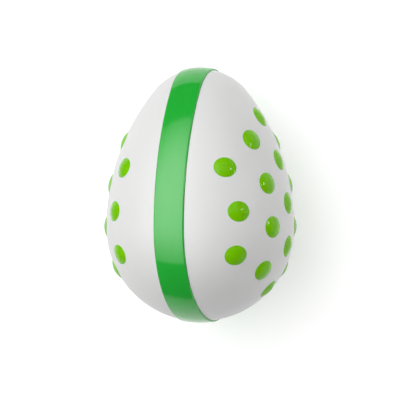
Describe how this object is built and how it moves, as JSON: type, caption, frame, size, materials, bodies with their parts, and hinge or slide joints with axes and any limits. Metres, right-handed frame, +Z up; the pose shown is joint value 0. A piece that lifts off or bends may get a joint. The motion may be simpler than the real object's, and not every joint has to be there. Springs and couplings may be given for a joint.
{
  "type": "egg shaker",
  "caption": "Hollow plastic egg rattle: two white half shells on a raised green band, soft lime dots for grip, and loose beads sealed inside.",
  "frame": {"origin": "under the middle of the egg, on the surface it lies on", "axes": "+Y along the egg towards its small end, +X to the right-hand shell, +Z up; the band lies in the plane X = 0"},
  "size_m": [0.0448, 0.0602, 0.0449],
  "materials": {
    "shell": "satin off-white moulded plastic",
    "band": "polished green moulded plastic",
    "dot": "glossy lime green soft plastic",
    "bead": "plain steel shot"
  },
  "bodies": {
    "egg": {"centre_band": "band", "right_shell": "shell", "left_shell": "shell", "right_dot_01": "dot", "right_dot_02": "dot", "right_dot_03": "dot", "right_dot_04": "dot", "right_dot_05": "dot", "right_dot_06": "dot", "right_dot_07": "dot", "right_dot_08": "dot", "right_dot_09": "dot", "right_dot_10": "dot", "right_dot_11": "dot", "right_dot_12": "dot", "right_dot_13": "dot", "right_dot_14": "dot", "right_dot_15": "dot", "right_dot_16": "dot", "right_dot_17": "dot", "right_dot_18": "dot", "right_dot_19": "dot", "left_dot_01": "dot", "left_dot_02": "dot", "left_dot_03": "dot", "left_dot_04": "dot", "left_dot_05": "dot", "left_dot_06": "dot", "left_dot_07": "dot", "left_dot_08": "dot", "left_dot_09": "dot", "left_dot_10": "dot", "left_dot_11": "dot", "left_dot_12": "dot", "left_dot_13": "dot", "left_dot_14": "dot", "left_dot_15": "dot", "left_dot_16": "dot", "left_dot_17": "dot", "left_dot_18": "dot", "left_dot_19": "dot"},
    "bead_bed_1": {"bead_bed_1": "bead"},
    "loose_beads_1": {"loose_beads_1": "bead"},
    "bead_bed_2": {"bead_bed_2": "bead"},
    "loose_beads_2": {"loose_beads_2": "bead"},
    "bead_bed_3": {"bead_bed_3": "bead"},
    "loose_beads_3": {"loose_beads_3": "bead"},
    "bead_bed_4": {"bead_bed_4": "bead"},
    "loose_beads_4": {"loose_beads_4": "bead"},
    "bead_bed_5": {"bead_bed_5": "bead"},
    "loose_beads_5": {"loose_beads_5": "bead"},
    "bead_bed_6": {"bead_bed_6": "bead"},
    "loose_beads_6": {"loose_beads_6": "bead"},
    "bead_bed_7": {"bead_bed_7": "bead"},
    "loose_beads_7": {"loose_beads_7": "bead"},
    "bead_bed_8": {"bead_bed_8": "bead"},
    "loose_beads_8": {"loose_beads_8": "bead"}
  },
  "joints": [
    {"name": "bead_row_1_roll", "type": "hinge", "parent": "egg", "child": "bead_bed_1", "pos_m": [0, -0.0171, 0.02245], "axis": [0, 1, 0], "continuous": true},
    {"name": "bead_row_1_throw", "type": "slide", "parent": "bead_bed_1", "child": "loose_beads_1", "axis": [0, 0, 1], "range_m": [0, 0.026]},
    {"name": "bead_row_2_roll", "type": "hinge", "parent": "egg", "child": "bead_bed_2", "pos_m": [0, -0.01335, 0.02245], "axis": [0, 1, 0], "continuous": true},
    {"name": "bead_row_2_throw", "type": "slide", "parent": "bead_bed_2", "child": "loose_beads_2", "axis": [0, 0, 1], "range_m": [0, 0.0269]},
    {"name": "bead_row_3_roll", "type": "hinge", "parent": "egg", "child": "bead_bed_3", "pos_m": [0, -0.0096, 0.02245], "axis": [0, 1, 0], "continuous": true},
    {"name": "bead_row_3_throw", "type": "slide", "parent": "bead_bed_3", "child": "loose_beads_3", "axis": [0, 0, 1], "range_m": [0, 0.0269]},
    {"name": "bead_row_4_roll", "type": "hinge", "parent": "egg", "child": "bead_bed_4", "pos_m": [0, -0.00585, 0.02245], "axis": [0, 1, 0], "continuous": true},
    {"name": "bead_row_4_throw", "type": "slide", "parent": "bead_bed_4", "child": "loose_beads_4", "axis": [0, 0, 1], "range_m": [0, 0.0271]},
    {"name": "bead_row_5_roll", "type": "hinge", "parent": "egg", "child": "bead_bed_5", "pos_m": [0, -0.0021, 0.02245], "axis": [0, 1, 0], "continuous": true},
    {"name": "bead_row_5_throw", "type": "slide", "parent": "bead_bed_5", "child": "loose_beads_5", "axis": [0, 0, 1], "range_m": [0, 0.0267]},
    {"name": "bead_row_6_roll", "type": "hinge", "parent": "egg", "child": "bead_bed_6", "pos_m": [0, 0.00165, 0.02245], "axis": [0, 1, 0], "continuous": true},
    {"name": "bead_row_6_throw", "type": "slide", "parent": "bead_bed_6", "child": "loose_beads_6", "axis": [0, 0, 1], "range_m": [0, 0.0269]},
    {"name": "bead_row_7_roll", "type": "hinge", "parent": "egg", "child": "bead_bed_7", "pos_m": [0, 0.0054, 0.02245], "axis": [0, 1, 0], "continuous": true},
    {"name": "bead_row_7_throw", "type": "slide", "parent": "bead_bed_7", "child": "loose_beads_7", "axis": [0, 0, 1], "range_m": [0, 0.0265]},
    {"name": "bead_row_8_roll", "type": "hinge", "parent": "egg", "child": "bead_bed_8", "pos_m": [0, 0.00915, 0.02245], "axis": [0, 1, 0], "continuous": true},
    {"name": "bead_row_8_throw", "type": "slide", "parent": "bead_bed_8", "child": "loose_beads_8", "axis": [0, 0, 1], "range_m": [0, 0.0261]}
  ]
}
